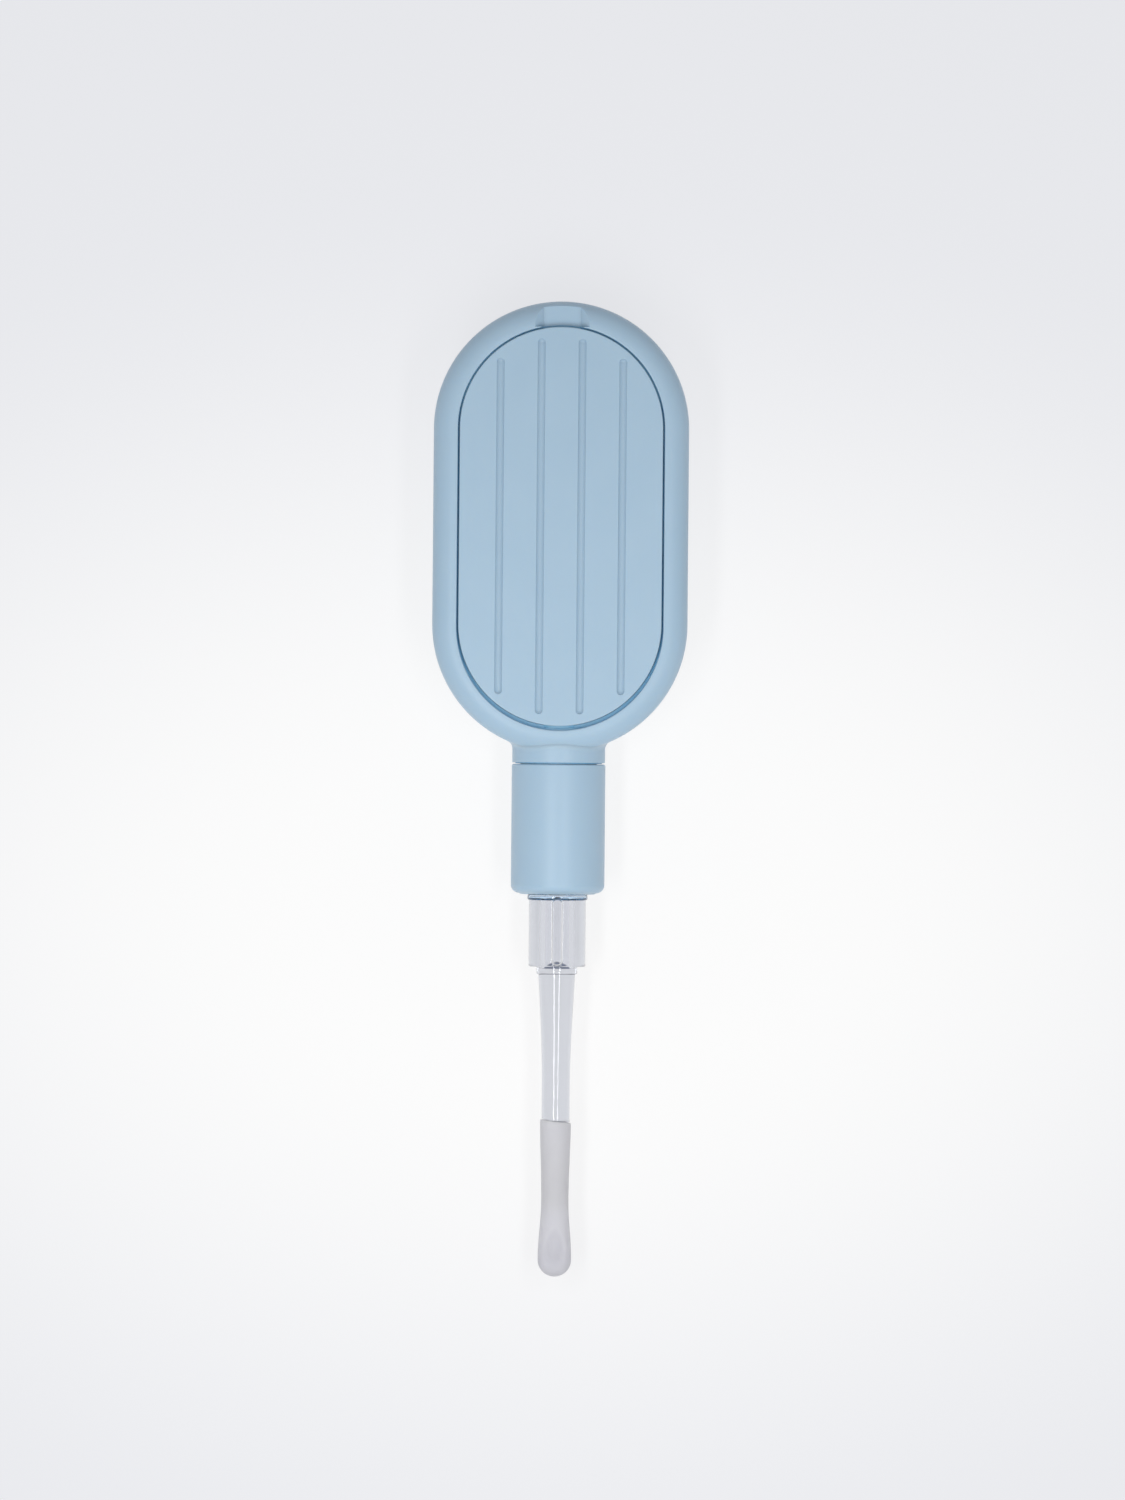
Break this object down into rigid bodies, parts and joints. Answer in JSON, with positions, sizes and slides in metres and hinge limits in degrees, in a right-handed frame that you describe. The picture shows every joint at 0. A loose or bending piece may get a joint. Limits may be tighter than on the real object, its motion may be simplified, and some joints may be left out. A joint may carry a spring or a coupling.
{
  "type": "lighted ear pick",
  "caption": "Hand-held lighted ear pick: stadium storage handle with hinged lid, twist collar switch, battery and lamp cartridge, clear tapering stem and soft slip-on tip.",
  "frame": {"origin": "under the middle of the object's box, on the surface that its flat back lies on", "axes": "+Y along the object towards the handle's end, +X across it, +Z out of its front face"},
  "size_m": [0.034, 0.13, 0.014],
  "materials": {
    "case_plastic": "fine matt moulded polypropylene, pale blue",
    "inner_plastic": "moulded, white",
    "plated_steel": "nickel plated",
    "contact_bronze": "rolled phosphor bronze",
    "seal_rubber": "moulded, black",
    "lamp_epoxy": "water clear cast epoxy",
    "clear_acrylic": "polished moulded acrylic",
    "tip_silicone": "matt translucent moulded silicone"
  },
  "bodies": {
    "handle": {"rear_shell": "case_plastic", "front_shell": "case_plastic", "battery_barrel": "inner_plastic", "collar_o_ring": "seal_rubber"},
    "lid": {"lid": "case_plastic"},
    "collar": {"collar": "case_plastic", "switch_ring": "contact_bronze"},
    "cartridge": {"battery_holder": "inner_plastic", "spring_seat": "plated_steel", "contact_spring": "plated_steel", "cell_1": "plated_steel", "cell_2": "plated_steel", "cell_3": "plated_steel", "contact_strip": "contact_bronze", "positive_contact": "plated_steel", "led_carrier": "inner_plastic", "led_contact_stud": "contact_bronze", "led": "lamp_epoxy", "led_lead_positive": "plated_steel", "led_lead_negative": "plated_steel", "nose_o_ring": "seal_rubber"},
    "pick": {"pick_stem": "clear_acrylic"},
    "tip": {"tip_sleeve": "tip_silicone"}
  },
  "joints": [
    {"name": "lid_swing", "type": "hinge", "parent": "handle", "child": "lid", "pos_m": [0, 0.00823, 0.01375], "axis": [1, 0, 0], "range_deg": [0, 95]},
    {"name": "collar_twist", "type": "hinge", "parent": "handle", "child": "collar", "pos_m": [0, 0.00345, 0.007], "axis": [0, 1, 0], "range_deg": [0, 60]},
    {"name": "cartridge_pull", "type": "slide", "parent": "handle", "child": "cartridge", "axis": [0, -1, 0], "range_m": [0, 0.0215]},
    {"name": "pick_pull", "type": "slide", "parent": "cartridge", "child": "pick", "axis": [0, -1, 0], "range_m": [0, 0.008]},
    {"name": "tip_pull", "type": "slide", "parent": "pick", "child": "tip", "axis": [0, -1, 0], "range_m": [0, 0.014]}
  ]
}
